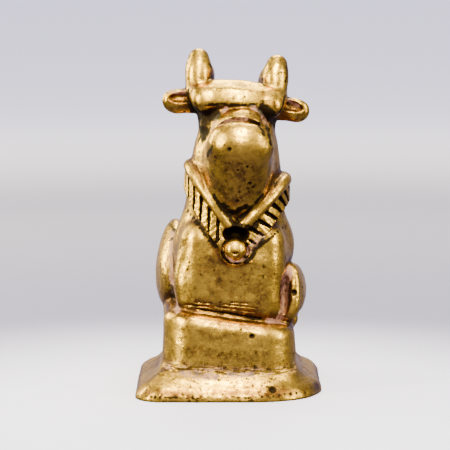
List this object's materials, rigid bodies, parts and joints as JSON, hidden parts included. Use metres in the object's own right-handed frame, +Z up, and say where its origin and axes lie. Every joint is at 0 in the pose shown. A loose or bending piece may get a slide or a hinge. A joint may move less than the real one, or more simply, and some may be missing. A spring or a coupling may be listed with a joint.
{
  "type": "nandi bull figure",
  "caption": "Small cast brass bull lying with its head raised on a block plinth with a flared foot, wearing a collar with a bell.",
  "frame": {"origin": "middle of the foot's flat underside", "axes": "+Z up, the bull faces -Y and its left side is on +X"},
  "size_m": [0.038, 0.05, 0.0698],
  "materials": {
    "brass": "worn and handled cast brass, bright on the high places, dark brown patina and pink residue in the hollows"
  },
  "bodies": {
    "root": {"nandi_bull_figure": "brass"}
  },
  "joints": []
}
